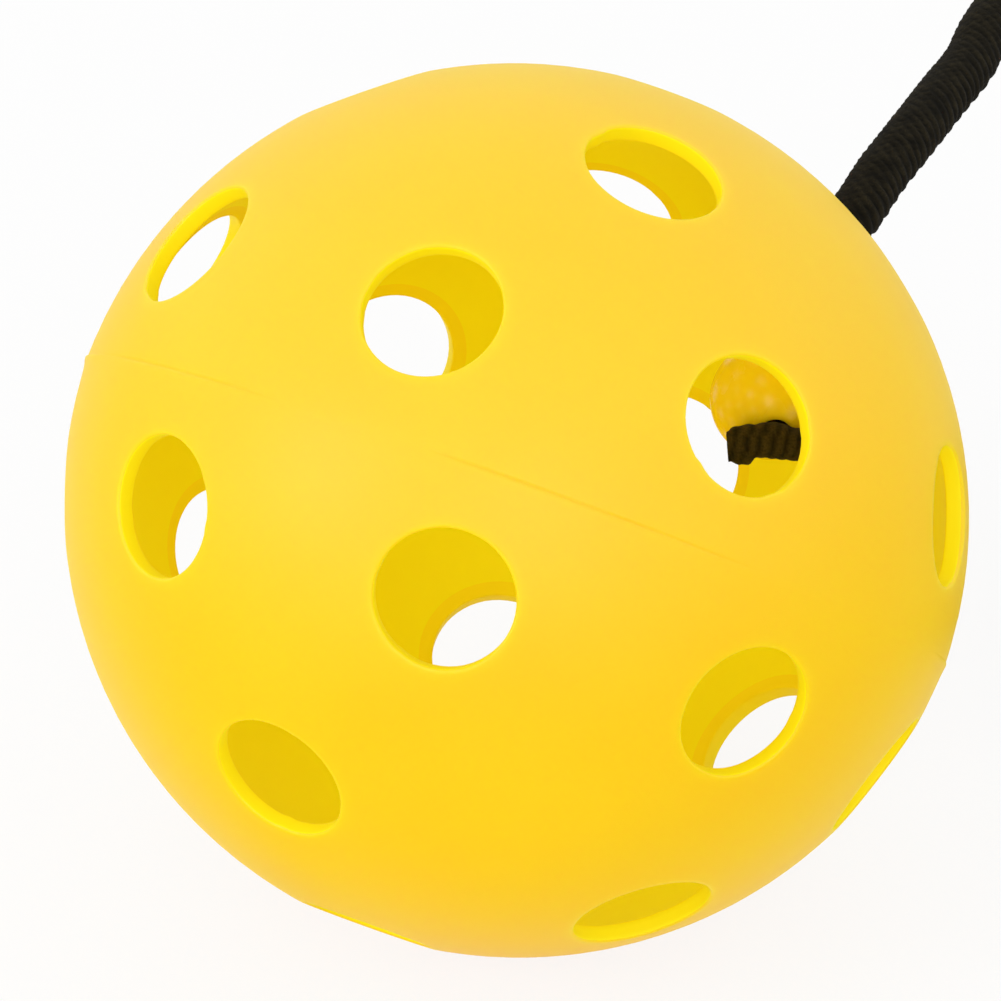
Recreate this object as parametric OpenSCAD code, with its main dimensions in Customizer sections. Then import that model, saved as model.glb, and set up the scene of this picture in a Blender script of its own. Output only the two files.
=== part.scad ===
// Perforated ball on a cord: two welded half shells, a stopper bead inside and a knotted cord
// Millimetres, +Z up. The ball stands on the rim of one vent hole, with the origin under its centre

/* [Ball] */
// Diameter of the sphere that each half is moulded on
ball_d = 72; // [66:0.5:80]
// Thickness of the moulded wall
wall = 1.4; // [1:0.1:2.4]
// Diameter of a vent hole
vent_d = 11.1; // [8:0.1:12]
// Latitude of the eight vent holes next to the weld, in degrees
ring8_lat = 18; // [16:0.5:21]
// Latitude of the four vent holes nearer the pole, in degrees
ring4_lat = 51; // [48:0.5:54]
// Turn between the hole patterns of the two halves, in degrees
half_turn = 30.5; // [20:0.5:40]
// Heading of the tilted moulding axis, in degrees from +X towards +Y
heading = 57; // [50:1:66]

/* [Weld] */
// Height that each half lost when it was melted on to the other
weld_take = 0.7; // [0:0.1:1.2]
// Height of the lip that seats the upper half in the lower half
lap_h = 1.2; // [0.6:0.1:2]
// Room between the lip and its seat
lap_play = 0.05; // [0.02:0.01:0.1]
// Width of the weld ridge
weld_w = 0.6; // [0.3:0.1:1]
// Height of the weld ridge above the ball's surface
weld_proud = 0.12; // [0.05:0.01:0.3]

/* [Cord inside the ball] */
// Diameter of the cord
cord_d = 4.6; // [4:0.1:5.2]
// Room between the cord and the edge of its hole, all round
cord_hole_play = 0.45; // [0.35:0.05:0.8]
// Radius of the cord's bend just inside its hole
bend_r = 9.5; // [9.5:0.5:11]
// Straight cord between the wall's inner face and the bend
bend_clear = 0.4; // [0.2:0.1:1]
// Heading of the straight stretch, from the bend to the knot, in degrees
inner_heading = -87; // [-92:1:-80]
// Fall of the straight stretch below level, in degrees
inner_drop = 6; // [2:1:8]
// Thickness of the straight stretch, where the cord is drawn tight through the bead
inner_d = 2.4; // [2:0.1:3]

/* [Stopper bead] */
// Diameter of the round bead
bead_d = 9.6; // [8:0.1:11]
// Room between the bead's bore and the cord, all round
bead_play = 0.05; // [0.02:0.01:0.1]
// Distance from the corner of the cord's bend to the bead's centre, with the bead on its knot
bead_reach = 12.6; // [12:0.1:13.5]

/* [Knots] */
// Width of the stop knot behind the bead, across the cord
stop_knot_w = 8.2; // [7:0.1:9]
// Thickness of the pulled strand in the stop knot
stop_strand = 2.4; // [2:0.1:3]
// Room between the stop knot and the bead
knot_play = 0.2; // [0.15:0.05:0.6]
// Outside diameter of the knot at the far end
end_knot_d = 12; // [11:0.1:13]
// Thickness of the strand in the far knot
end_strand = 4.2; // [3.6:0.1:4.6]

/* [Coil] */
// Diameter of the coil at the middle of its turns
coil_mid_d = 46; // [44:1:54]
// Turns of cord in the coil, in two layers
coil_turns = 3.25; // [2.25, 3.25]
// Room between neighbouring turns
turn_play = 0.5; // [0.45:0.05:1]
// Straight cord between the coil and the far knot
tail_run = 26; // [20:1:36]
// Width of the strap that ties the coil
tie_w = 7; // [5:0.5:9]
// Thickness of the strap
tie_t = 1; // [0.8:0.1:1.6]
// Room between the strap and the turns inside it
tie_play = 0.6; // [0.5:0.05:1]

/* [Hidden] */
$fn = 96;

yellow = "gold";
orange = "orange";
black = [0.12, 0.11, 0.08];

// Ball placed on the rim of its lowest vent hole
ball_r = ball_d / 2;
inner_r = ball_r - wall;
lap_r = ball_r - wall / 2;
vent_r = vent_d / 2;
weld_r = sqrt(pow(ball_r, 2) - pow(weld_take, 2));
rest_tilt = 90 - ring4_lat;
ball_c = [0, 0, sqrt(pow(ball_r, 2) - pow(vent_r, 2)) - weld_take * cos(rest_tilt)];

// Cord hole, midway between two holes of the upper four
cord_r = cord_d / 2;
cord_hole_d = cord_d + 2 * cord_hole_play;
cord_lon = half_turn - 45;

function unit(v) = v / norm(v);
function turn_y(v, a) = [v.x * cos(a) + v.z * sin(a), v.y, v.z * cos(a) - v.x * sin(a)];
function turn_z(v, a) = [v.x * cos(a) - v.y * sin(a), v.x * sin(a) + v.y * cos(a), v.z];
function polar(lat, lon) = [cos(lat) * cos(lon), cos(lat) * sin(lon), sin(lat)];

function in_frame(v) = turn_z(turn_y(v, rest_tilt), heading);

upper_c = ball_c - in_frame([0, 0, weld_take]);
cord_out = in_frame(polar(ring4_lat, cord_lon));
inner_dir = polar(-inner_drop, inner_heading);

// Bend that joins the straight stretch inside to the axis of the cord hole
bend_angle = acos(-inner_dir * cord_out);
bend_tangent = bend_r * tan(bend_angle / 2);
bend_corner = upper_c + cord_out * (inner_r - bend_clear - bend_tangent);
bend_start = bend_corner + inner_dir * bend_tangent;
bend_side = unit(cord_out + inner_dir * (-inner_dir * cord_out));
bend_centre = bend_start + bend_side * bend_r;
bend_steps = 6;

// Bead and stop knot on the straight stretch
bead_c = bend_corner + inner_dir * bead_reach;
knot_reach = bead_d / 2 + stop_strand / 2 + knot_play;
knot_at = bead_c + inner_dir * (knot_reach - stop_strand / 2);
inner_len = norm(knot_at - bend_start);
wrap_step = 0.85;

// Coil on the floor, wound clockwise as seen from above
coil_c = [73, 40, 0];
coil_start = 45;
coil_span = 360 * coil_turns;
turn_step = cord_d + turn_play;
coil_r = coil_mid_d / 2 + turn_step * coil_turns / 4;
tie_rise = tie_t + tie_play;
tie_turn = 45;
tie_reach = 45;
end_z = end_knot_d / 2;
loop_rings = 24;
gap_rings = 72;
run_sides = 10;
coil_sides = 6;

// Radius, height and place of the coil's centreline, by the angle wound so far
function smooth(t) = let (s = min(1, max(0, t))) s * s * (3 - 2 * s);
function wound_r(a) = coil_r - turn_step * (coil_span / 2 - abs(a - coil_span / 2)) / 360;
function off_tie(a) = abs((a - tie_turn + 900) % 360 - 180);
function tie_lift(a) = tie_rise * (1 - smooth(off_tie(a) / tie_reach));
function wound_z(a) = cord_r + turn_step * smooth((a - coil_span / 2) / 180 + 0.5) + tie_lift(a);
function heading_at(a) = polar(0, coil_start - a - 90);
function wound_at(a) = coil_c + polar(0, coil_start - a) * wound_r(a) + [0, 0, wound_z(a)];

// Tail that leaves the last turn in a straight line and sinks to the far knot's height
tail_from = wound_at(coil_span);
tail_dir = heading_at(coil_span);
function tail_at(s) = tail_from + tail_dir * s
    + [0, 0, (end_z - tail_from.z) * smooth(s / (tail_run - cord_d))];
tail_steps = 5;
coil_points = concat(
    [for (i = [0 : loop_rings * coil_turns]) wound_at(360 * i / loop_rings)],
    [for (i = [1 : tail_steps]) tail_at((tail_run - cord_d) * i / tail_steps)],
    [tail_at(tail_run)]);

// Least gap between one turn and another, measured on the centreline
gap_points = [for (i = [0 : gap_rings * coil_turns]) wound_at(360 * i / gap_rings)];
far_apart = gap_rings / 4;
coil_gap = min([for (i = [0 : len(gap_points) - 1], j = [i + far_apart : len(gap_points) - 1])
    if (j < len(gap_points)) norm(gap_points[i] - gap_points[j])]) - cord_d;
echo(coil_gap = coil_gap);

// Free stretch, back and to the right, its first points chosen by hand
rise_points = [[27.6, 31, 44.1], [30, 36, 45.1], [32.6, 41.2, 45.7], [35.8, 48.3, 46], [37.9, 53, 46.1],
    [39.3, 57.3, 46.6]];

// The rest of it falls to the coil on one smooth curve, level where it meets the coil
fall_from = rise_points[5];
fall_dir = unit(fall_from - rise_points[4]);
fall_to = wound_at(0) - heading_at(0) * cord_d;
fall_pull = [26, 26];
fall_steps = 9;
function fall_at(t) = fall_from * pow(1 - t, 3)
    + (fall_from + fall_dir * fall_pull[0]) * 3 * t * pow(1 - t, 2)
    + (fall_to - heading_at(0) * fall_pull[1]) * 3 * t * t * (1 - t)
    + fall_to * pow(t, 3);
hole_reach = [inner_r, ball_r, ball_r + cord_r];
bend_points = [for (i = [0 : bend_steps]) let (a = bend_angle * i / bend_steps)
    bend_centre - bend_side * bend_r * cos(a) - inner_dir * bend_r * sin(a)];
run_points = concat(
    bend_points,
    [for (t = hole_reach) upper_c + cord_out * t],
    rise_points,
    [for (i = [1 : fall_steps]) fall_at(i / fall_steps)],
    [wound_at(0)]);

// Directions along a row of points, and a sideways direction carried along it without twist
function along(p) = [for (i = [0 : len(p) - 1])
    unit(p[min(i + 1, len(p) - 1)] - p[max(i - 1, 0)])];
function carried(t, n, i = 0) = i == len(t) ? [] :
    let (m = unit(n - t[i] * (n * t[i]))) concat([m], carried(t, m, i + 1));

// Round tube through a row of points, square to the first and last direction
module tube(p, first, last, r, sides) {
    inside = along(p);
    t = [for (i = [0 : len(p) - 1]) i == 0 ? first : i == len(p) - 1 ? last : inside[i]];
    n = carried(t, cross(first, first.z > 0.9 ? [1, 0, 0] : [0, 0, 1]));
    rings = [for (i = [0 : len(p) - 1], k = [0 : sides - 1]) let (a = 360 * k / sides)
        p[i] + r * (n[i] * cos(a) + cross(t[i], n[i]) * sin(a))];
    last_ring = (len(p) - 1) * sides;
    walls = [for (i = [0 : len(p) - 2], k = [0 : sides - 1]) let (j = (k + 1) % sides, b = i * sides)
        each [[b + k, b + sides + j, b + j], [b + k, b + sides + k, b + sides + j]]];
    caps = [for (k = [1 : sides - 2])
        each [[0, k, k + 1], [last_ring, last_ring + k + 1, last_ring + k]]];
    polyhedron(rings, concat(walls, caps));
}

// Puts what is drawn along +Z at a point, facing a direction
module facing(p, dir) {
    translate(p) rotate([0, acos(dir.z), atan2(dir.y, dir.x)]) children();
}

module in_ball() {
    translate(ball_c) rotate([0, 0, heading]) rotate([0, rest_tilt, 0]) children();
}

module drill(lat, lon, d) {
    rotate([0, 0, lon]) rotate([0, 90 - lat, 0]) translate([0, 0, ball_r / 2]) cylinder(d = d, h = ball_r);
}

// Puts what is drawn round a half's moulding centre in its place, 1 for upper and -1 for lower
module on_half(side) {
    translate([0, 0, -side * weld_take]) children();
}

// Vent holes of one half: one at the pole, four round it and eight next to the weld
module vents(side, turn) {
    drill(90 * side, 0, vent_d);
    for (k = [0 : 3]) drill(ring4_lat * side, turn + 90 * k, vent_d);
    for (k = [0 : 7]) drill(ring8_lat * side, turn + 22.5 + 45 * k, vent_d);
}

// Upper half with its locating lip and the cord hole
module upper_shell() {
    color(yellow) in_ball() difference() {
        intersection() {
            on_half(1) sphere(r = ball_r);
            union() {
                translate([-ball_r, -ball_r, 0]) cube([ball_d, ball_d, ball_r]);
                translate([0, 0, -lap_h]) cylinder(r = lap_r - lap_play, h = 2 * lap_h);
            }
        }
        on_half(1) {
            sphere(r = inner_r);
            vents(1, half_turn);
            drill(ring4_lat, cord_lon, cord_hole_d);
        }
    }
}

// Lower half with the lip's seat and the weld ridge
module lower_shell() {
    color(yellow) in_ball() difference() {
        union() {
            intersection() {
                on_half(-1) sphere(r = ball_r);
                translate([-ball_r, -ball_r, -ball_r]) cube([ball_d, ball_d, ball_r]);
            }
            translate([0, 0, -weld_w]) cylinder(r = weld_r + weld_proud, h = weld_w);
        }
        translate([0, 0, -lap_h]) cylinder(r = lap_r, h = 2 * lap_h);
        on_half(-1) {
            sphere(r = inner_r);
            vents(-1, 0);
        }
    }
}

module stopper_bead() {
    color(orange) facing(bead_c, inner_dir) difference() {
        sphere(d = bead_d);
        cylinder(d = inner_d + 2 * bead_play, h = 2 * bead_d, center = true);
    }
}

// Straight stretch that the bead slides on
module cord_inner() {
    color(black) facing(bend_start, inner_dir) cylinder(d = inner_d, h = inner_len);
}

// Tight round knot, wrapped square to the cord from the point where the cord enters it
module knot(d, strand, wraps) {
    for (i = [0 : wraps - 1]) translate([0, 0, strand / 2 + i * wrap_step * strand])
        rotate_extrude() translate([(d - strand) / 2, 0]) circle(d = strand);
    cylinder(d = d - strand, h = strand * (1 + wrap_step * (wraps - 1)));
}

// Stop knot, drawn up tight so that one strand lies across the end of the straight stretch
module inner_knot() {
    color(black) facing(knot_at, inner_dir) {
        cylinder(d = inner_d, h = stop_strand / 2);
        translate([0, 0, stop_strand / 2]) rotate([90, 0, 0])
            cylinder(d = stop_strand, h = stop_knot_w, center = true);
    }
}

module cord_run() {
    color(black) tube(run_points, -inner_dir, heading_at(0), cord_r, run_sides);
}

module cord_coil() {
    color(black) tube(coil_points, heading_at(0), tail_dir, cord_r, coil_sides);
}

// Flat shape with round corners
module rounded(size, r) {
    square([size - 2 * r, size], center = true);
    square([size, size - 2 * r], center = true);
    for (x = [-1, 1], y = [-1, 1]) translate([x, y] * (size / 2 - r)) circle(r = r);
}

// Strap round the four turns where the layers lie straight above each other
module coil_tie() {
    hold = turn_step + cord_d + 2 * tie_play;
    corner_r = cord_r + tie_play;
    mid_r = (wound_r(tie_turn) + wound_r(tie_turn + 360)) / 2;
    mid_z = (wound_z(tie_turn) + wound_z(coil_span - tie_turn)) / 2;
    color(black) translate(coil_c) rotate([0, 0, coil_start - tie_turn])
        translate([mid_r, tie_w / 2, mid_z]) rotate([90, 0, 0]) linear_extrude(tie_w) difference() {
            rounded(hold + 2 * tie_t, corner_r + tie_t);
            rounded(hold, corner_r);
        }
}

module end_knot() {
    color(black) facing(tail_at(tail_run), tail_dir) knot(end_knot_d, end_strand, 2);
}

upper_shell();
lower_shell();
stopper_bead();
cord_inner();
inner_knot();
cord_run();
cord_coil();
coil_tie();
end_knot();
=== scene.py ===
from math import acos, ceil, cos, degrees, pi, radians, sin, sqrt, tan

import bmesh
import bpy
from mathutils import Matrix, Vector, noise
from mathutils.geometry import delaunay_2d_cdt


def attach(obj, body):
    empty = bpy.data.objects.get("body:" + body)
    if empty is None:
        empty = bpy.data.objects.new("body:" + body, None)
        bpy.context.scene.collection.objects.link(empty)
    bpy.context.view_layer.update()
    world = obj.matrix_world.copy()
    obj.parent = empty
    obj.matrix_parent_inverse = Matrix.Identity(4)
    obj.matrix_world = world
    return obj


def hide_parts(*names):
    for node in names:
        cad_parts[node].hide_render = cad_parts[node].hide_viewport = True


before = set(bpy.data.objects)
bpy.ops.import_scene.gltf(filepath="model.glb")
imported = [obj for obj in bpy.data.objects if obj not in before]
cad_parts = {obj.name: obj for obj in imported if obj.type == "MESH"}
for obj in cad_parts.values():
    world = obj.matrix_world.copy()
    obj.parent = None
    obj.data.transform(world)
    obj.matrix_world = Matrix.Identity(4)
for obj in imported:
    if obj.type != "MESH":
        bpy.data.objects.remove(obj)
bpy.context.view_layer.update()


# Camera
# It stands almost straight in front of the ball, nearly a metre off and 31 degrees above it.
# Its long lens shows almost no perspective, and its shift sets the ball a little off centre.
MM = 0.001
ball_centre = Vector((0, 0, 35.0256 * MM))
view_up = radians(30.7)
view_left = radians(0.65)
view_distance = 988 * MM
picture_side = 1001
ball_seen_at = (516.44, 510.42)

camera_data = bpy.data.cameras.new("photo_camera")
camera_data.sensor_fit = "HORIZONTAL"
camera_data.sensor_width = 36
camera_data.lens = 449.5
camera_data.shift_x = 0.5 - ball_seen_at[0] / picture_side
camera_data.shift_y = ball_seen_at[1] / picture_side - 0.5
camera_data.clip_end = 30
camera = bpy.data.objects.new("photo_camera", camera_data)
bpy.context.scene.collection.objects.link(camera)
view_from = Vector((-sin(view_left) * cos(view_up), -cos(view_left) * cos(view_up), sin(view_up)))
camera.location = ball_centre + view_distance * view_from
camera.rotation_euler = (pi / 2 - view_up, 0, -view_left)
bpy.context.scene.camera = camera
bpy.context.scene.view_settings.view_transform = "Standard"


# Cord
# One black textile cord, knitted with fine oblique ribs. It runs from the stop knot inside the ball
# through the bead, bends out of its hole in the ball, and its spare length is wound up on the floor.
cord_d = 4.6 * MM
cord_r = cord_d / 2
ball_r = 36 * MM
wall = 1.4 * MM
inner_r = ball_r - wall
weld_take = 0.7 * MM
half_turn = radians(30.5)
ring4_lat = radians(51)
ball_yaw = radians(57)
ball_turn = Matrix.Rotation(ball_yaw, 4, "Z") @ Matrix.Rotation(pi / 2 - ring4_lat, 4, "Y")
ball_stand = Matrix.Translation(ball_centre) @ ball_turn


def polar(lat, lon):
    """Unit direction at a latitude and a longitude."""
    return Vector((cos(lat) * cos(lon), cos(lat) * sin(lon), sin(lat)))


upper_centre = ball_stand @ Vector((0, 0, -weld_take))
cord_lon = half_turn - radians(45)
cord_out = ball_turn @ polar(ring4_lat, cord_lon)
inner_drop = radians(6)
inner_heading = radians(-87)
inner_dir = polar(-inner_drop, inner_heading)

bend_r = 9.5 * MM
bend_clear = 0.4 * MM
bend_angle = acos(-inner_dir @ cord_out)
bend_tangent = bend_r * tan(bend_angle / 2)
bend_corner = upper_centre + cord_out * (inner_r - bend_clear - bend_tangent)
bend_start = bend_corner + inner_dir * bend_tangent
bend_side = (cord_out - inner_dir * (inner_dir @ cord_out)).normalized()
bend_centre = bend_start + bend_side * bend_r

bead_r = 4.8 * MM
bead_reach = 12.6 * MM
knot_play = 0.2 * MM
bead_centre = bend_corner + inner_dir * bead_reach
knot_at = bead_centre + inner_dir * (bead_r + knot_play)

coil_centre = Vector((73, 40, 0)) * MM
coil_start = radians(45)
coil_turns = 3.25
coil_span = 2 * pi * coil_turns
turn_play = 0.5 * MM
turn_step = cord_d + turn_play
coil_mid_r = 23 * MM
coil_r = coil_mid_r + turn_step * coil_turns / 4
tie_at = radians(45)
tie_hump = radians(45)
tie_rise = 1.6 * MM
tail_run = 26 * MM
knot_height = 6 * MM


def eased(t):
    """Smooth step that leaves 0 and reaches 1 gently."""
    t = min(1, max(0, t))
    return t * t * (3 - 2 * t)


def wound_r(a):
    """Distance from the middle of the coil, which winds inwards on the floor, then outwards on top."""
    return coil_r - turn_step * (coil_span / 2 - abs(a - coil_span / 2)) / (2 * pi)


def wound_z(a):
    """Height of the cord, one layer up on the second half, and lifted where the tie passes."""
    off_tie = abs((a - tie_at + pi) % (2 * pi) - pi)
    lift = tie_rise * (1 - eased(off_tie / tie_hump))
    return cord_r + turn_step * eased((a - coil_span / 2) / pi + 0.5) + lift


def wound_at(a):
    """Point on the line of the coil after a turn of a from its start."""
    return coil_centre + polar(0, coil_start - a) * wound_r(a) + Vector((0, 0, wound_z(a)))


def wound_dir(a):
    """Level direction of the cord there."""
    return polar(0, coil_start - a - pi / 2)


tail_from = wound_at(coil_span)
tail_dir = wound_dir(coil_span)


def tail_at(s):
    """Point on the straight tail past the coil, which eases to the height of its knot."""
    sink = (knot_height - tail_from.z) * eased(s / (tail_run - cord_d))
    return tail_from + tail_dir * s + Vector((0, 0, sink))


bore_start = 2 * MM
inside_steps = 5
bend_steps = 6
loop_steps = 36
tail_steps = 6
drawn_from = knot_at - inner_dir * bore_start
inside_points = [drawn_from.lerp(bend_start, i / inside_steps) for i in range(inside_steps)]
bend_points = []
for i in range(bend_steps + 1):
    a = bend_angle * i / bend_steps
    bend_points.append(bend_centre - bend_side * bend_r * cos(a) - inner_dir * bend_r * sin(a))
hole_points = [upper_centre + cord_out * reach for reach in (inner_r, ball_r, ball_r + cord_r)]
rise_points = [Vector(p) * MM for p in (
    (27.6, 31, 44.1), (30, 36, 45.1), (32.6, 41.2, 45.7), (35.8, 48.3, 46), (37.9, 53, 46.1),
    (39.3, 57.3, 46.6))]
fall_pull = 26 * MM
fall_from = rise_points[-1]
fall_to = wound_at(0) - wound_dir(0) * cord_d
fall_over = fall_from + (fall_from - rise_points[-2]).normalized() * fall_pull
fall_under = fall_to - wound_dir(0) * fall_pull
fall_steps = 14
fall_points = []
for i in range(1, fall_steps + 1):
    t = i / fall_steps
    fall_points.append(fall_from * (1 - t) ** 3 + fall_over * 3 * t * (1 - t) ** 2
                       + fall_under * 3 * t * t * (1 - t) + fall_to * t ** 3)
coil_points = [wound_at(2 * pi * i / loop_steps) for i in range(int(loop_steps * coil_turns) + 1)]
tail_points = [tail_at(tail_run * (i + 1) / tail_steps) for i in range(tail_steps)]
cord_route = (inside_points + bend_points + hole_points + rise_points + fall_points
              + coil_points + tail_points)


def drawn_through(points, step):
    """Points closer together on a smooth line through the given ones."""
    far = [0.0]
    for a, b in zip(points, points[1:]):
        far.append(far[-1] + (b - a).length)
    last = len(points) - 1
    slopes = []
    for i in range(len(points)):
        before = max(i - 1, 0)
        after = min(i + 1, last)
        slopes.append((points[after] - points[before]) / (far[after] - far[before]))
    drawn = []
    for i in range(last):
        gap = far[i + 1] - far[i]
        count = max(1, ceil(gap / step))
        for k in range(count):
            t = k / count
            drawn.append(points[i] * (1 + 2 * t) * (1 - t) ** 2 + points[i + 1] * t * t * (3 - 2 * t)
                         + slopes[i] * gap * t * (1 - t) ** 2 - slopes[i + 1] * gap * t * t * (1 - t))
    return drawn + [points[-1]]


def made_piece(name, verts, faces, finish):
    """A smooth mesh with one finish, put in the scene."""
    mesh = bpy.data.meshes.new(name)
    mesh.from_pydata(verts, [], faces)
    mesh.materials.append(finish)
    mesh.shade_smooth()
    piece = bpy.data.objects.new(name, mesh)
    bpy.context.scene.collection.objects.link(piece)
    return piece


def ribbed_piece(name, verts, faces, finish, ribs):
    """A piece whose points also carry a rib value for its finish: on a cord it is the rib's height, which
    paints shade into the valleys, and on the strap it is a stripe.
    """
    piece = made_piece(name, verts, faces, finish)
    height = piece.data.attributes.new("rib", "FLOAT", "POINT")
    height.data.foreach_set("value", ribs)
    return piece


def tube_faces(rows, sides):
    """Faces of a tube made of rings of points, with a flat cap at each end."""
    faces = []
    for i in range(rows - 1):
        for k in range(sides):
            j = (k + 1) % sides
            b = i * sides
            faces.append((b + k, b + j, b + sides + j, b + sides + k))
    faces.append(tuple(reversed(range(sides))))
    faces.append(tuple(range((rows - 1) * sides, rows * sides)))
    return faces


def strand(name, points, radius, sides, finish, shape, first_side):
    """Closed tube along close points; shape gives the change of radius from place, turn and direction."""
    directions = []
    for i in range(len(points)):
        ahead = points[min(i + 1, len(points) - 1)]
        behind = points[max(i - 1, 0)]
        directions.append((ahead - behind).normalized())
    verts = []
    ribs = []
    side = first_side
    run = 0.0
    for i, (point, direction) in enumerate(zip(points, directions)):
        side = (side - direction * side.dot(direction)).normalized()
        across = direction.cross(side)
        if i:
            run += (point - points[i - 1]).length
        for k in range(sides):
            turn = 2 * pi * k / sides
            outward = side * cos(turn) + across * sin(turn)
            change, rib = shape(run, turn, outward)
            verts.append(point + outward * (radius + change))
            ribs.append(rib)
    return ribbed_piece(name, verts, tube_faces(len(points), sides), finish, ribs)


def new_finish(name):
    """A new material, with its nodes and links."""
    finish = bpy.data.materials.new(name)
    finish.use_nodes = True
    return finish, finish.node_tree.nodes, finish.node_tree.links


def textile_shade_and_stripe_finish(name, low, high, roughness, fibre_scale):
    """Matte yarn with fine fibres. Its colour runs from low to high with the rib value: painted shade and
    light over a cord's ribs, and a woven stripe on the strap.
    """
    finish, nodes, links = new_finish(name)
    shader = nodes["Principled BSDF"]
    shader.inputs["Roughness"].default_value = roughness
    shader.inputs["Specular IOR Level"].default_value = 0.1
    shader.inputs["Sheen Weight"].default_value = 0.02
    shader.inputs["Sheen Roughness"].default_value = 0.4
    place = nodes.new("ShaderNodeTexCoord")
    fibres = nodes.new("ShaderNodeTexNoise")
    fibres.inputs["Scale"].default_value = fibre_scale
    fibres.inputs["Detail"].default_value = 3
    links.new(place.outputs["Object"], fibres.inputs["Vector"])
    rib = nodes.new("ShaderNodeAttribute")
    rib.attribute_name = "rib"
    spread = nodes.new("ShaderNodeMath")
    spread.operation = "MULTIPLY"
    links.new(rib.outputs["Fac"], spread.inputs[0])
    links.new(fibres.outputs["Fac"], spread.inputs[1])
    tone = nodes.new("ShaderNodeValToRGB")
    tone.color_ramp.elements[0].color = (*low, 1)
    tone.color_ramp.elements[1].color = (*high, 1)
    tone.color_ramp.elements[1].position = 0.6
    links.new(spread.outputs["Value"], tone.inputs["Fac"])
    links.new(tone.outputs["Color"], shader.inputs["Base Color"])
    bump = nodes.new("ShaderNodeBump")
    bump.inputs["Strength"].default_value = 0.6
    bump.inputs["Distance"].default_value = 0.06 * MM
    links.new(fibres.outputs["Fac"], bump.inputs["Height"])
    links.new(bump.outputs["Normal"], shader.inputs["Normal"])
    return finish


rib_pitch = 0.95 * MM
rib_step = rib_pitch / 4.5
rib_depth = 0.2 * MM
rib_starts = 2
rib_lean = 1.3 * MM
rib_lean_side = radians(-63)
rib_wander = 0.3
lump_pitch = 1.9 * MM
lump_rise = 0.2 * MM
knit_uneven = 0.04 * MM
uneven_run = 2.3 * MM
uneven_round = 1.2
fleck_run = 0.7 * MM
fleck_round = 2.6


def patches(run, turn, along, around):
    """Smooth random value, from -1 to 1, over the surface of a strand."""
    return noise.noise(Vector((run / along, around * cos(turn), around * sin(turn))))


def cord_shape(run, turn, outward):
    """Oblique ribs all round, and larger lumps along one side where the knit is joined."""
    uneven = patches(run, turn, uneven_run, uneven_round)
    leaned = run + rib_lean * cos(turn - rib_lean_side)
    rib = abs(sin(pi * (leaned / rib_pitch + rib_wander * uneven) + rib_starts * turn / 2))
    joined = max(0, cos(turn)) ** 4
    lump = 0.5 + 0.5 * cos(2 * pi * run / lump_pitch)
    change = lump_rise * joined * (lump - 1) - rib_depth * (1 - rib) * (1 - 0.5 * joined)
    flecks = patches(run, turn, fleck_run, fleck_round)
    # The second value is the rib's height with random flecks. The finish turns it into painted shade
    # between the ribs and painted light on their tops.
    return change + knit_uneven * uneven, rib * (0.75 + 0.7 * flecks)


yarn_rough = 0.85
yarn_fibres = 5200
# The cord's colours: near black for painted shade between the ribs, and dark brown for painted light on
# their tops.
cord_valley_painted_shade = (0.0012, 0.001, 0.0003)
cord_crest_painted_light = (0.022, 0.0175, 0.008)
cord_painted_shade_finish = textile_shade_and_stripe_finish("ribbed_cord_painted_shade", cord_valley_painted_shade, cord_crest_painted_light, yarn_rough, yarn_fibres)
cord_line = drawn_through(cord_route, rib_step)
cord_sides = 28
nap = 0.03 * MM
cord_skin = cord_r - nap
cord_side = Vector((0.8, 0, -0.6))
drawn_r = 1.2 * MM
drawn_length = (drawn_from - bend_start).length
bend_length = bend_r * bend_angle


def drawn_cord_shape(run, turn, outward):
    """The cord is drawn tight and thin through the bead, and fills out along its bend."""
    change, rib = cord_shape(run, turn, outward)
    filled = eased((run - drawn_length) / bend_length)
    return change * (0.5 + 0.5 * filled) - (cord_r - drawn_r) * (1 - filled), rib


cord = strand("cord", cord_line, cord_skin, cord_sides, cord_painted_shade_finish, drawn_cord_shape, cord_side)
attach(cord, "tether")
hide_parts("cord_inner", "cord_run", "cord_coil")


# Stop knot
# The cord's end inside the ball, tied and drawn up tight behind the bead, so the bead can't come off.
# The cut strand lies across the cord and its end is frayed.
stop_strand = 2.5 * MM
stop_sides = 18
stop_reach = 1.15 * MM
flare_run = 1.6 * MM
flare_fade = 0.8 * MM
flare_round = 0.15 * MM
flare_down = 0.55 * MM
cut_run = 0.9 * MM
cut_depth = 0.8 * MM
bore_run = 2 * MM
bore_thin = 0.15 * MM
cover_at = 3.9 * MM
cover_run = 2.6 * MM
cover_rise = 0.55 * MM
fray = 0.13 * MM
fray_run = 1.5 * MM
fray_round = 1.4
stop_rib_depth = 0.08 * MM
stop_rib_wander = 0.4
knot_middle = knot_at + inner_dir * stop_reach
knot_right = Vector((0, 0, 1)).cross(inner_dir).normalized()
knot_up = inner_dir.cross(knot_right)
stop_route = []
for right, up, out in (
        (0, 0, -3), (0, -0.2, -1.7), (0.5, -0.35, -0.9), (1.9, -0.3, -0.6), (3.4, 0.1, -0.5),
        (4.3, 0.7, -0.3), (3.9, 0.2, 0.1), (2.7, -0.15, 0.15), (0.9, 0.05, 0.1),
        (-0.8, 0.35, 0), (-2.3, 0.35, -0.1), (-3.9, 0.2, -0.2)):
    stop_route.append(knot_middle + (knot_right * right + knot_up * up + inner_dir * out) * MM)
stop_line = drawn_through(stop_route, rib_step)
stop_length = sum((b - a).length for a, b in zip(stop_line, stop_line[1:]))


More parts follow.
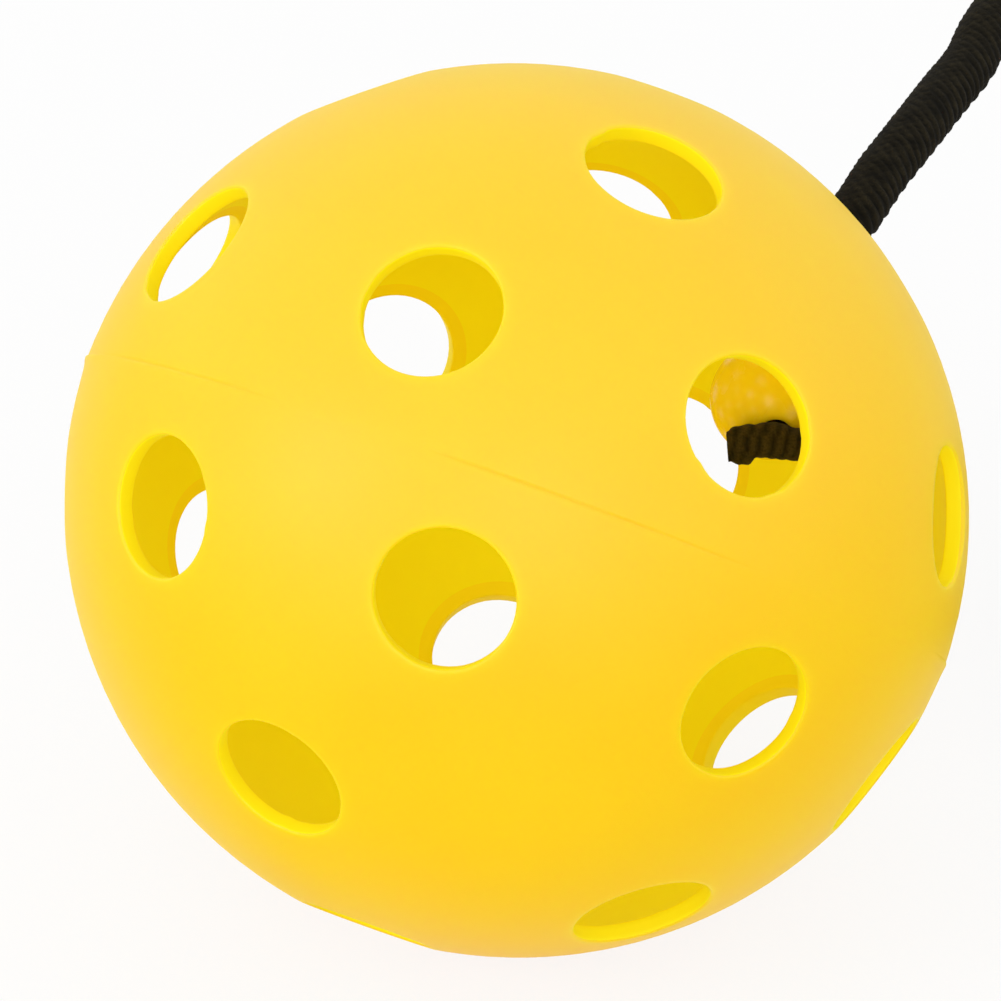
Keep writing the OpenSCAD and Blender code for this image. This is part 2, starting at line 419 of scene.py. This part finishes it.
def stop_shape(run, turn, outward):
    """The strand is thin in the bore and swells over it, and its cut end flares, most of all downwards."""
    uneven = patches(run, turn, fray_run, fray_round)
    rib = abs(sin(pi * (run / rib_pitch + stop_rib_wander * uneven) + rib_starts * turn / 2))
    to_end = stop_length - run
    up = outward.dot(knot_up)
    near_end = 1 - eased((to_end - flare_run) / flare_fade)
    flare = near_end * (flare_round + flare_down * max(0, -up))
    cut = cut_depth * (1 - eased(to_end / cut_run)) * (0.8 + 1.2 * uneven)
    in_bore = bore_thin * (1 - eased(run / bore_run))
    cover = cover_rise * max(0, up) * (1 - eased(abs(to_end - cover_at) / cover_run))
    rough = fray * uneven - stop_rib_depth * (1 - rib)
    # The second value is the rib's height, which the finish turns into painted shade between the ribs.
    return flare + cover - cut - in_bore + rough, rib


# The knot is the same black cord, but its colours are a lighter, browner copy of the cord's. This is
# painted light for the yellow light bouncing inside the ball, with painted shade between the ribs as on
# the cord.
stop_valley_painted_light = (0.006, 0.0045, 0.001)
stop_crest_painted_light = (0.05, 0.037, 0.011)
stop_painted_light_finish = textile_shade_and_stripe_finish("drawn_cord_painted_light", stop_valley_painted_light, stop_crest_painted_light, yarn_rough, yarn_fibres)
stop_knot = strand("stop_knot", stop_line, stop_strand / 2, stop_sides, stop_painted_light_finish, stop_shape, knot_up)
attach(stop_knot, "tether")
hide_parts("inner_knot")


# End knot
# The cord's far end, tied in a tight barrel knot of two wraps, so the cord can't fray or slip.
# It is the same cord, pulled a little thinner.
end_strand = 4.2 * MM
end_core = tail_at(tail_run)
end_up = Vector((0, 0, 1))
end_across = end_up.cross(tail_dir)
end_ring_r = 3.75 * MM
end_turns = 2.3
end_low = end_strand / 2
end_rise = 3.55 * MM
end_high = end_low + end_rise
end_lead = 2 * MM
wrap_from = 0.12
wrap_to = 0.88
tuck_from = 0.86
tuck_in = 0.75
end_steps = 64
end_route = [end_core - tail_dir * end_lead]
for i in range(end_steps + 1):
    t = i / end_steps
    a = 2 * pi * end_turns * t
    tuck = tuck_in * eased((t - tuck_from) / (1 - tuck_from))
    reach = end_ring_r * eased(3 * t) * (1 - tuck)
    height = end_high + (end_low - end_high) * eased((t - wrap_from) / (wrap_to - wrap_from))
    around = end_across * cos(a) + end_up * sin(a)
    end_route.append(end_core + around * reach + tail_dir * height)

end_line = drawn_through(end_route, rib_step)
end_knot = strand(
    "end_knot_wraps", end_line, end_strand / 2, cord_sides, cord_painted_shade_finish, cord_shape, end_across)
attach(end_knot, "tether")
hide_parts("end_knot")


# Coil tie
# A flat black woven strap, wrapped once round the four turns of the coil and lapped over itself.
# Its woven hook face grips the lap, which ends in a rounded tab.
tie_w = 7 * MM
tie_t = 0.9 * MM
tie_hold = 10.9 * MM
tie_corner = 2.9 * MM
tie_middle = coil_centre + Vector((
    (wound_r(tie_at) + wound_r(tie_at + 2 * pi)) / 2, 0,
    (wound_z(tie_at) + wound_z(coil_span - tie_at)) / 2))
tie_lap = 13 * MM
lap_gap = 0.05 * MM
lap_slope = 5 * MM
tab_run = 2.2 * MM
tab_width = 0.55
tie_side = tie_hold - 2 * tie_corner
tie_quarter = tie_side + tie_corner * pi / 2
tie_round = 4 * tie_quarter


def tie_outline(s):
    """Point and outward direction on the strap's inner face, from the middle of its top."""
    s = (s + tie_side / 2) % tie_round
    quarter = int(s // tie_quarter)
    s -= quarter * tie_quarter
    half = tie_hold / 2
    if s <= tie_side:
        point = Vector((-tie_side / 2 + s, half))
        out = Vector((0, 1))
    else:
        a = (s - tie_side) / tie_corner
        out = Vector((sin(a), cos(a)))
        point = Vector((tie_side / 2, tie_side / 2)) + out * tie_corner
    turn = Matrix.Rotation(-quarter * pi / 2, 2)
    return turn @ point, turn @ out


def strap_verts():
    """Rings of points along the strap, with a woven dip inside each of its two long edges."""
    steps = 150
    whole = tie_round + tie_lap
    edge = 0.18 * MM
    half = tie_w / 2
    hem = half * 0.86
    dip = half * 0.8
    low = tie_t * 0.94
    flat = half * 0.4
    profile = ((-half, edge), (-half, tie_t - edge), (-half + edge, tie_t), (-hem, tie_t), (-dip, low),
               (-flat, tie_t), (0, tie_t), (flat, tie_t), (dip, low), (hem, tie_t), (half - edge, tie_t),
               (half, tie_t - edge), (half, edge), (half - edge, 0), (0, 0), (-half + edge, 0))
    verts = []
    ribs = []
    for i in range(steps + 1):
        s = whole * i / steps
        point, out = tie_outline(s)
        lapped = (tie_t + lap_gap) * eased((s - tie_round + lap_slope) / lap_slope)
        to_end = min(s, whole - s)
        narrow = 1
        if to_end < tab_run:
            narrow = tab_width + (1 - tab_width) * sqrt(1 - (1 - to_end / tab_run) ** 2)
        for k, (wide, up) in enumerate(profile):
            p = point + out * (up + lapped)
            verts.append(tie_middle + Vector((p.x, wide * narrow, p.y)))
            ribs.append(0.5 + 0.5 * cos(pi * k))
    return verts, ribs, steps + 1, len(profile)


tie_valley = (0.008, 0.008, 0.009)
tie_crest = (0.03, 0.03, 0.032)
strap_rough = 0.8
strap_fibres = 3200
tie_finish = textile_shade_and_stripe_finish("woven_tie", tie_valley, tie_crest, strap_rough, strap_fibres)
tie_verts, tie_ribs, tie_rows, tie_sides = strap_verts()
tie_faces = [tuple(reversed(face)) for face in tube_faces(tie_rows, tie_sides)]
tie = ribbed_piece("coil_tie_strap", tie_verts, tie_faces, tie_finish, tie_ribs)
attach(tie, "tether")
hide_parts("coil_tie")


# Stopper bead
# A round bead moulded in glossy orange plastic, with a bore that the cord just slides through.
# It is threaded on the cord between the stop knot and the wall of the ball.
bore_r = 1.25 * MM
bore_round = 0.2 * MM
bead_sides = 64
outside_steps = 40
rim_steps = 4
bore_steps = 4


def bead_profile():
    """Radius and height along the bead's outside from one end to the other, then back down the bore."""
    rim_r = bore_r + bore_round
    lat = acos(rim_r / bead_r)
    rows = []
    for i in range(outside_steps + 1):
        a = -lat + 2 * lat * i / outside_steps
        rows.append((bead_r * cos(a), bead_r * sin(a)))
    top = bead_r * sin(lat)
    for i in range(1, rim_steps + 1):
        a = pi / 2 * i / rim_steps
        rows.append((rim_r - bore_round * sin(a), top - bore_round * (1 - cos(a))))
    for i in range(1, bore_steps):
        rows.append((bore_r, (top - bore_round) * (1 - 2 * i / bore_steps)))
    for i in range(rim_steps):
        a = pi / 2 * (1 - i / rim_steps)
        rows.append((rim_r - bore_round * sin(a), -top + bore_round * (1 - cos(a))))
    return rows


def turned(rows, sides, place):
    """Points and faces of a closed profile turned round an axis."""
    verts = []
    for r, h in rows:
        for k in range(sides):
            a = 2 * pi * k / sides
            verts.append(place @ Vector((r * cos(a), r * sin(a), h)))
    faces = []
    for i in range(len(rows)):
        n = (i + 1) % len(rows)
        for k in range(sides):
            j = (k + 1) % sides
            faces.append((i * sides + k, i * sides + j, n * sides + j, n * sides + k))
    return verts, faces


bead_place = Matrix.Translation(bead_centre) @ inner_dir.to_track_quat("Z", "Y").to_matrix().to_4x4()
bead_verts, bead_faces = turned(bead_profile(), bead_sides, bead_place)


def clouded_plastic(name, scale, detail, colours, spread, rough_range):
    """Moulded plastic with faint clouds in its colour and gloss."""
    finish, nodes, links = new_finish(name)
    shader = nodes["Principled BSDF"]
    place = nodes.new("ShaderNodeTexCoord")
    cloud = nodes.new("ShaderNodeTexNoise")
    cloud.inputs["Scale"].default_value = scale
    cloud.inputs["Detail"].default_value = detail
    links.new(place.outputs["Object"], cloud.inputs["Vector"])
    tone = nodes.new("ShaderNodeValToRGB")
    for i in range(2):
        tone.color_ramp.elements[i].color = (*colours[i], 1)
        tone.color_ramp.elements[i].position = spread[i]
    links.new(cloud.outputs["Fac"], tone.inputs["Fac"])
    links.new(tone.outputs["Color"], shader.inputs["Base Color"])
    gloss = nodes.new("ShaderNodeMapRange")
    gloss.inputs["To Min"].default_value = rough_range[0]
    gloss.inputs["To Max"].default_value = rough_range[1]
    links.new(cloud.outputs["Fac"], gloss.inputs["Value"])
    links.new(gloss.outputs["Result"], shader.inputs["Roughness"])
    return finish, nodes, links


# The bead's orange is paler than its own colour: painted light that makes up for the shade it lies in
# inside the ball.
bead_oranges_painted_light = ((1, 0.74, 0.006), (1, 0.79, 0.01))
bead_finish, nodes, links = clouded_plastic("glossy_orange_painted_light", 260, 4, bead_oranges_painted_light, (0, 1), (0.2, 0.32))
shader = nodes["Principled BSDF"]
shader.inputs["Specular IOR Level"].default_value = 0.4
shader.inputs["Subsurface Weight"].default_value = 0.2
shader.inputs["Subsurface Radius"].default_value = (1, 0.6, 0.1)
shader.inputs["Subsurface Scale"].default_value = 1.5 * MM

bead = made_piece("bead", bead_verts, bead_faces, bead_finish)
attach(bead, "bead")
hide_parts("stopper_bead")


# Ball
# Two half shells moulded in satin yellow plastic, each with thirteen vent holes, melted on to each
# other with a turn between them. The weld shows as a line that comes and goes, the holes have
# small burrs, and the upper half also has the cord's hole.
vent_r = 5.55 * MM
cord_hole_r = 2.75 * MM
ring8_lat = radians(18)
hole_wobble = 0.035 * MM
burr_size = 0.16 * MM
burr_from = 0.42
burr_fade = 0.3
vent_sides = 56
rim_sides = 180
edge_round = 0.22 * MM
inner_round = 0.12 * MM
collar = 1.1 * MM
fill_out = 1.7 * MM
fill_in = 2.4 * MM
# From this ring on, a hole has the finish of its wall, a paler copy of the yellow with painted light.
wall_from_row = 4
# The hole with this number, counted from 1 in the upper half, is narrower than the others.
narrow_hole = 11
narrow_hole_by = 0.2


def vent_places(turn):
    """Latitude, longitude and radius of the thirteen vent holes of one half."""
    places = [(pi / 2, 0.0, vent_r)]
    places += [(ring4_lat, turn + pi / 2 * k, vent_r) for k in range(4)]
    places += [(ring8_lat, turn + radians(22.5) + pi / 4 * k, vent_r) for k in range(8)]
    return places


def hole_rows(place, sphere_out, sphere_in, seed):
    """Rings of points through one hole, from the outer face over both edges to the inner face."""
    lat, lon, r = place
    axis = polar(lat, lon)
    right = Vector((-sin(lon), cos(lon), 0))
    up = axis.cross(right)
    offsets = [(collar, None), (collar / 2, None), (edge_round, None)]
    high = sqrt(sphere_out ** 2 - (r + edge_round) ** 2)
    low = sqrt(sphere_in ** 2 - (r + inner_round) ** 2)
    for a in (30, 60, 90):
        a = radians(a)
        offsets.append((edge_round * (1 - sin(a)), high - edge_round * (1 - cos(a))))
    for t in (0.33, 0.67):
        offsets.append((0, high - edge_round + (low + inner_round - high + edge_round) * t))
    for a in (90, 45):
        a = radians(a)
        offsets.append((inner_round * (1 - sin(a)), low + inner_round * (1 - cos(a))))
    inner_offsets = (inner_round, collar / 2, collar)
    rows = []
    for more, height in offsets:
        rows.append(hole_ring(axis, right, up, r, more, height, sphere_out, seed))
    for more in inner_offsets:
        rows.append(hole_ring(axis, right, up, r, more, None, sphere_in, seed))
    return rows


def hole_ring(axis, right, up, r, more, height, sphere, seed):
    """One ring round a hole, on the sphere where no height is given, with its wobble and burrs."""
    ring = []
    near = 1 - eased(more / collar)
    narrow = narrow_hole_by if seed == narrow_hole else 0
    for k in range(vent_sides):
        a = 2 * pi * k / vent_sides
        wobble = hole_wobble * noise.noise(Vector((1.7 * cos(a), 1.7 * sin(a), 7.3 * seed)))
        burr = noise.noise(Vector((4.2 * cos(a), 4.2 * sin(a), 3.1 * seed + 40)))
        wobble -= burr_size * eased((burr - burr_from) / burr_fade)
        reach = r + more + wobble * near - narrow * r * cos(a) ** 2
        tall = sqrt(sphere ** 2 - reach ** 2) if height is None else height
        ring.append(axis * tall + (right * cos(a) + up * sin(a)) * reach)
    return ring


def skin(rings, rim, sphere, gap, faces, number):
    """Triangles over one face of the half, between its rim and the collars of its holes."""
    off_rim = 0.6 * gap
    off_hole = 0.55 * gap
    point_area = 0.87 * gap * gap
    same_place = 1e-7
    flat = []
    edges = []
    ids = []
    owner = []

    def add(point, vert, hole):
        unit = point.normalized()
        flat.append(Vector((unit.x, unit.y)) / (1 + unit.z))
        ids.append(vert)
        owner.append(hole)

    for hole, ring in enumerate(rings + [rim]):
        first = len(flat)
        for vert, point in ring:
            add(point, vert, hole)
        for k in range(len(ring)):
            edges.append((first + k, first + (k + 1) % len(ring)))
    fixed = len(flat)
    rim_high = max(point.z for vert, point in rim)
    centres = []
    for ring in rings:
        middle = sum((point for vert, point in ring), Vector()) / len(ring)
        spread = max((point - middle).length for vert, point in ring)
        centres.append((middle.normalized() * sphere, spread))
    count = int(4 * pi * sphere ** 2 / point_area)
    fill = []
    for i in range(count):
        z = 1 - (2 * i + 1) / count
        a = i * pi * (3 - sqrt(5))
        flat_r = sqrt(1 - z * z)
        point = Vector((flat_r * cos(a), flat_r * sin(a), z)) * sphere
        if point.z < rim_high + off_rim:
            break
        if all((point - middle).length > spread + off_hole for middle, spread in centres):
            fill.append(point)
    for point in fill:
        add(point, number + len(ids) - fixed, -1)
    found = delaunay_2d_cdt(flat, edges, [], 0, same_place)
    back = [source[0] for source in found[3]]
    for face in found[2]:
        corner = [back[v] for v in face]
        holes = {owner[c] for c in corner}
        if len(holes) == 1 and -1 not in holes and len(rings) not in holes:
            continue
        faces.append(tuple(ids[c] for c in corner))
    return fill


# Stretches of the weld, from and to a longitude in degrees, with the share of the full form there.
groove_stretches = ((134, 176, 1), (192, 240, 0.9), (310, 352, 0.9), (22, 74, 0.7))
ridge_stretches = ((92, 136, 1), (280, 340, 0.6))
stretch_fade = 9


def weld_stretch(lon, start, end):
    """1 between two longitudes in degrees, fading out over a few degrees at both ends."""
    off = degrees(lon) % 360
    return eased((off - start) / stretch_fade) * eased((end - off) / stretch_fade)


def weld_groove(lon):
    """Where a fine groove is left along the weld."""
    fine = noise.noise(Vector((16 * cos(lon), 16 * sin(lon), 2.5)))
    shown = max(share * weld_stretch(lon, start, end) for start, end, share in groove_stretches)
    return shown * (0.85 + 0.5 * fine)


def weld_ridge(lon):
    """Where the lower half stands a little proud of the upper one."""
    fine = noise.noise(Vector((11 * cos(lon), 11 * sin(lon), 8.5)))
    stands = sum(share * weld_stretch(lon, start, end) for start, end, share in ridge_stretches)
    return max(0, stands + 0.2 * fine)


ridge_high = 0.17 * MM
groove_deep = 0.1 * MM
# Rows of points beside the weld: the distance from it in mm, the share of the ridge and of the groove.
upper_edge = [(0, 0, 1), (0.05, 0, 0.75), (0.12, 0, 0.3), (0.22, 0, 0.05), (0.6, 0, 0), (1.3, 0, 0)]
lower_edge = [(0, 0, 1), (0.05, 0.6, 0.75), (0.12, 0.9, 0.3), (0.22, 1, 0.05), (0.4, 0.8, 0),
              (0.7, 0.4, 0), (1.1, 0.1, 0), (1.7, 0, 0)]


def edge_ring(sphere, depth, ridge, groove):
    """One ring beside the weld, at a distance from it in mm."""
    ring = []
    z = weld_take + depth * MM
    flush = sqrt(sphere ** 2 - z ** 2)
    for k in range(rim_sides):
        a = 2 * pi * k / rim_sides
        reach = flush + ridge * ridge_high * weld_ridge(a) - groove * groove_deep * weld_groove(a)
        ring.append(Vector((reach * cos(a), reach * sin(a), z)))
    return ring


def half_shell(places, edge_rows, seed):
    """One half round its moulding centre, pole up: points, then faces outside, in the holes and inside."""
    verts = []
    faces = []

    def keep(ring):
        first = len(verts)
        verts.extend(ring)
        return [(first + k, point) for k, point in enumerate(ring)]

    def stitch(rows, kept):
        for a, b in zip(rows, rows[1:]):
            for k in range(len(a)):
                j = (k + 1) % len(a)
                kept.append((a[k][0], a[j][0], b[j][0], b[k][0]))

    outer = []
    inner = []
    walls = []
    for number, place in enumerate(places):
        rows = [keep(ring) for ring in hole_rows(place, ball_r, inner_r, seed + number)]
        stitch(rows[:wall_from_row + 1], faces)
        stitch(rows[wall_from_row:], walls)
        outer.append(rows[0])
        inner.append(rows[-1])
    rim = [keep(edge_ring(ball_r, *row)) for row in edge_rows]
    stitch(rim, faces)
    verts.extend(skin(outer, rim[-1], ball_r, fill_out, faces, len(verts)))
    inside = []
    lip = keep(edge_ring(inner_r, 0, 0, 0))
    verts.extend(skin(inner, lip, inner_r, fill_in, inside, len(verts)))
    return verts, (faces, walls, [tuple(reversed(face)) for face in inside])


def yellow_plastic(name, colours, glow, shine, rough_range):
    """The ball's clouded plastic, with a fine grain; glow is the share of light that it passes on."""
    finish, nodes, links = clouded_plastic(name, 55, 5, colours, (0.3, 0.7), rough_range)
    shader = nodes["Principled BSDF"]
    shader.inputs["Specular IOR Level"].default_value = shine
    shader.inputs["Subsurface Weight"].default_value = glow
    shader.inputs["Subsurface Radius"].default_value = (1, 0.95, 0.3)
    shader.inputs["Subsurface Scale"].default_value = 1.6 * MM
    grain = nodes.new("ShaderNodeTexNoise")
    grain.inputs["Scale"].default_value = 1500
    grain.inputs["Detail"].default_value = 3
    links.new(nodes["Texture Coordinate"].outputs["Object"], grain.inputs["Vector"])
    bump = nodes.new("ShaderNodeBump")
    bump.inputs["Strength"].default_value = 0.12
    bump.inputs["Distance"].default_value = 0.03 * MM
    links.new(grain.outputs["Fac"], bump.inputs["Height"])
    links.new(bump.outputs["Normal"], shader.inputs["Normal"])
    return finish


# Only the outside has the plastic's own yellow. The hole walls and the inside get paler, more lemon copies
# of it: painted light that makes up for the shade and the deeper yellow of the light inside the ball.
outside_yellows = ((0.985, 0.6, 0.003), (0.995, 0.63, 0.005))
wall_yellows_painted_light = ((0.985, 0.82, 0.002), (0.995, 0.86, 0.003))
inside_yellows_painted_light = ((0.995, 0.91, 0.002), (1, 0.95, 0.003))
outside_finish = yellow_plastic("satin_yellow", outside_yellows, 1, 0.5, (0.46, 0.54))
wall_painted_light_finish = yellow_plastic("hole_yellow_painted_light", wall_yellows_painted_light, 0, 0.2, (0.5, 0.6))
inside_painted_light_finish = yellow_plastic("inside_yellow_painted_light", inside_yellows_painted_light, 0, 0.2, (0.5, 0.6))

upper_holes = vent_places(half_turn) + [(ring4_lat, cord_lon, cord_hole_r)]
upper_place = ball_stand @ Matrix.Translation((0, 0, -weld_take))
lower_place = ball_stand @ Matrix.Scale(-1, 4, (0, 0, 1)) @ Matrix.Translation((0, 0, -weld_take))
weld_join = 0.005 * MM
ball_form = bmesh.new()
for shell, place, mirrored in (
        (half_shell(upper_holes, upper_edge, 1), upper_place, False),
        (half_shell(vent_places(0), lower_edge, 30), lower_place, True)):
    half_verts, face_groups = shell
    corners = [ball_form.verts.new(place @ point) for point in half_verts]
    for number, group in enumerate(face_groups):
        for face in group:
            if mirrored:
                face = tuple(reversed(face))
            made = ball_form.faces.new([corners[c] for c in face])
            made.smooth = True
            made.material_index = number
weld_verts = [vert for vert in ball_form.verts if vert.is_boundary]
bmesh.ops.remove_doubles(ball_form, verts=weld_verts, dist=weld_join)
ball_mesh = bpy.data.meshes.new("ball_shell")
ball_form.to_mesh(ball_mesh)
ball_form.free()
for finish in (outside_finish, wall_painted_light_finish, inside_painted_light_finish):
    ball_mesh.materials.append(finish)
ball_shell = bpy.data.objects.new("ball_shell", ball_mesh)
bpy.context.scene.collection.objects.link(ball_shell)
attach(ball_shell, "ball")
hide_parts("upper_shell", "lower_shell")


# Floor and light
# A plain white floor with a faint shadow, even light from all round, and two large soft lamps:
# one beside the camera, and one to its left for the broad pale sheen on the ball's left side.
floor_half = 6.0
floor_z = -0.03 * MM
floor_glow = 0.86
floor_white = (0.88, 0.88, 0.88, 1)
sky_light = 0.94


def seen_rays(nodes, links):
    """1 for what is looked at, mirrored or seen through, and 0 for light that only falls on things."""
    rays = nodes.new("ShaderNodeLightPath")
    seen = rays.outputs["Is Camera Ray"]
    for kind in ("Is Glossy Ray", "Is Transmission Ray"):
        either = nodes.new("ShaderNodeMath")
        either.operation = "MAXIMUM"
        links.new(seen, either.inputs[0])
        links.new(rays.outputs[kind], either.inputs[1])
        seen = either.outputs["Value"]
    return seen


floor_finish, nodes, links = new_finish("white_floor")
shader = nodes["Principled BSDF"]
shader.inputs["Base Color"].default_value = floor_white
shader.inputs["Roughness"].default_value = 0.9
shader.inputs["Specular IOR Level"].default_value = 0.1
white = nodes.new("ShaderNodeEmission")
white.inputs["Strength"].default_value = 1
share = nodes.new("ShaderNodeMath")
share.operation = "MULTIPLY"
share.inputs[1].default_value = floor_glow
links.new(seen_rays(nodes, links), share.inputs[0])
blend = nodes.new("ShaderNodeMixShader")
links.new(share.outputs["Value"], blend.inputs["Fac"])
links.new(shader.outputs["BSDF"], blend.inputs[1])
links.new(white.outputs["Emission"], blend.inputs[2])
links.new(blend.outputs["Shader"], nodes["Material Output"].inputs["Surface"])
floor_verts = [(-floor_half, -floor_half, floor_z), (floor_half, -floor_half, floor_z),
               (floor_half, floor_half, floor_z), (-floor_half, floor_half, floor_z)]
floor = made_piece("floor", floor_verts, [(0, 1, 2, 3)], floor_finish)

world = bpy.data.worlds.new("even_light")
bpy.context.scene.world = world
world.use_nodes = True
sky_nodes = world.node_tree.nodes
sky_links = world.node_tree.links
sky = sky_nodes["Background"]
sky.inputs["Color"].default_value = (1, 1, 1, 1)
sky_level = sky_nodes.new("ShaderNodeMapRange")
sky_level.inputs["To Min"].default_value = sky_light
sky_level.inputs["To Max"].default_value = 1
sky_links.new(seen_rays(sky_nodes, sky_links), sky_level.inputs["Value"])
sky_links.new(sky_level.outputs["Result"], sky.inputs["Strength"])

# Light is passed on many times between the bright walls inside the ball.
bpy.context.scene.cycles.diffuse_bounces = 20
bpy.context.scene.cycles.max_bounces = 24

view_turn = camera.rotation_euler.to_matrix()


def soft_lamp(name, seen_from, distance, size, watts):
    """Square lamp that faces the ball from a direction given to the right, up and back of the view."""
    data = bpy.data.lights.new(name, "AREA")
    data.shape = "SQUARE"
    data.size = size
    data.energy = watts
    lamp = bpy.data.objects.new(name, data)
    bpy.context.scene.collection.objects.link(lamp)
    direction = (view_turn @ Vector(seen_from)).normalized()
    lamp.location = ball_centre + direction * distance
    lamp.rotation_euler = direction.to_track_quat("Z", "Y").to_euler()


soft_lamp("front_lamp", (0.08, -0.03, 1), 1.2, 0.5, 1.9)
soft_lamp("left_lamp", (-0.76, 0.12, 0.64), 0.9, 0.26, 1.3)
